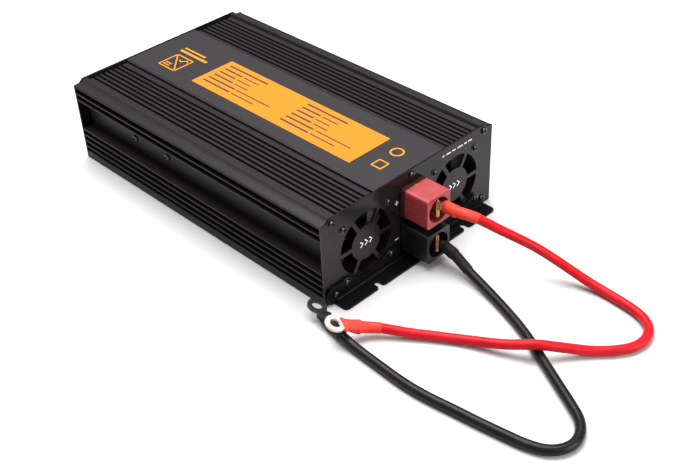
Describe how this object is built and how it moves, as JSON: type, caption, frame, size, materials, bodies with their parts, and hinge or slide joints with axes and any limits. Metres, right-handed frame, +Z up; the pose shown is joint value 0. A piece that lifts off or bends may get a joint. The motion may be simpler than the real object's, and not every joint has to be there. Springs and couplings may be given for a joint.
{
  "type": "power inverter",
  "caption": "Box-shaped battery power inverter with a finned extruded case, front cooling fans, hooded battery terminals, slotted feet and battery leads with ring lugs.",
  "frame": {"origin": "middle of the rectangle that the case, its feet and the terminal hoods cover, on the surface that the case stands on", "axes": "+Z up, -Y towards the battery terminals and fans, +Y towards the mains sockets, +X to the right seen from the terminal side"},
  "size_m": [0.2303, 0.572, 0.0804],
  "materials": {
    "anodised_case": "satin black anodised extrusion",
    "painted_plate": "fine matt black powder coat",
    "black_sheet": "matt black coated sheet",
    "black_plastic": "fine textured moulding",
    "red_plastic": "slightly translucent soft red moulding",
    "dark_red_plastic": "dark red moulding",
    "brass": "machined",
    "zinc_steel": "zinc plated",
    "black_screw": "black oxide",
    "red_cable": "smooth insulation",
    "red_sleeve": "heat-shrink tube",
    "black_cable": "smooth insulation",
    "tinned_copper": "tinned copper",
    "black_lug": "dark coated copper",
    "circuit_board": "solder mask",
    "aluminium": "mill finish",
    "ferrite": "sintered ferrite",
    "copper_winding": "yellow tape over enamelled wire",
    "capacitor_sleeve": "shrunk film sleeve",
    "green_lens": "tinted lens",
    "red_lens": "tinted lens"
  },
  "bodies": {
    "root": {"case_top": "anodised_case", "case_base": "anodised_case", "front_plate": "painted_plate", "rear_plate": "painted_plate", "front_foot": "black_sheet", "rear_foot": "black_sheet", "left_fan_frame": "black_plastic", "right_fan_frame": "black_plastic", "negative_hood": "black_plastic", "negative_collar": "black_plastic", "mains_socket_1": "black_plastic", "mains_socket_2": "black_plastic", "switch_housing": "black_plastic", "positive_hood": "red_plastic", "positive_collar": "dark_red_plastic", "positive_bar": "brass", "negative_bar": "brass", "ground_stud": "brass", "positive_bolt": "zinc_steel", "negative_bolt": "zinc_steel", "plate_screw_top_left": "black_screw", "plate_screw_top_middle": "black_screw", "plate_screw_top_right": "black_screw", "plate_screw_bottom_left": "black_screw", "plate_screw_bottom_right": "black_screw", "left_side_screw_front": "black_screw", "left_side_screw_rear": "black_screw", "right_side_screw_front": "black_screw", "right_side_screw_rear": "black_screw", "red_cable": "red_cable", "left_fan_lead": "red_cable", "right_fan_lead": "red_cable", "red_near_sleeve": "red_sleeve", "red_far_sleeve": "red_sleeve", "black_cable": "black_cable", "black_near_sleeve": "black_cable", "black_far_sleeve": "black_cable", "red_near_lug": "tinned_copper", "red_far_lug": "tinned_copper", "black_near_lug": "black_lug", "black_far_lug": "black_lug", "main_board": "circuit_board", "control_board": "circuit_board", "left_heat_rail": "aluminium", "right_heat_rail": "aluminium", "front_transformer_core": "ferrite", "rear_transformer_core": "ferrite", "front_transformer_winding": "copper_winding", "rear_transformer_winding": "copper_winding", "output_inductor": "copper_winding", "left_bulk_capacitor": "capacitor_sleeve", "right_bulk_capacitor": "capacitor_sleeve", "input_capacitor_1": "capacitor_sleeve", "input_capacitor_2": "capacitor_sleeve", "input_capacitor_3": "capacitor_sleeve", "power_led": "green_lens", "fault_led": "red_lens"},
    "left_rotor": {"left_fan_rotor": "black_plastic"},
    "right_rotor": {"right_fan_rotor": "black_plastic"},
    "rocker": {"power_rocker": "black_plastic"}
  },
  "joints": [
    {"name": "left_fan_spin", "type": "hinge", "parent": "root", "child": "left_rotor", "pos_m": [-0.0527, -0.14425, 0.0385], "axis": [0, 1, 0], "continuous": true},
    {"name": "right_fan_spin", "type": "hinge", "parent": "root", "child": "right_rotor", "pos_m": [0.0527, -0.14425, 0.0385], "axis": [0, 1, 0], "continuous": true},
    {"name": "power_rocker_tilt", "type": "hinge", "parent": "root", "child": "rocker", "pos_m": [-0.038, 0.16915, 0.05], "axis": [-1, 0, 0], "range_deg": [0, 14]}
  ]
}
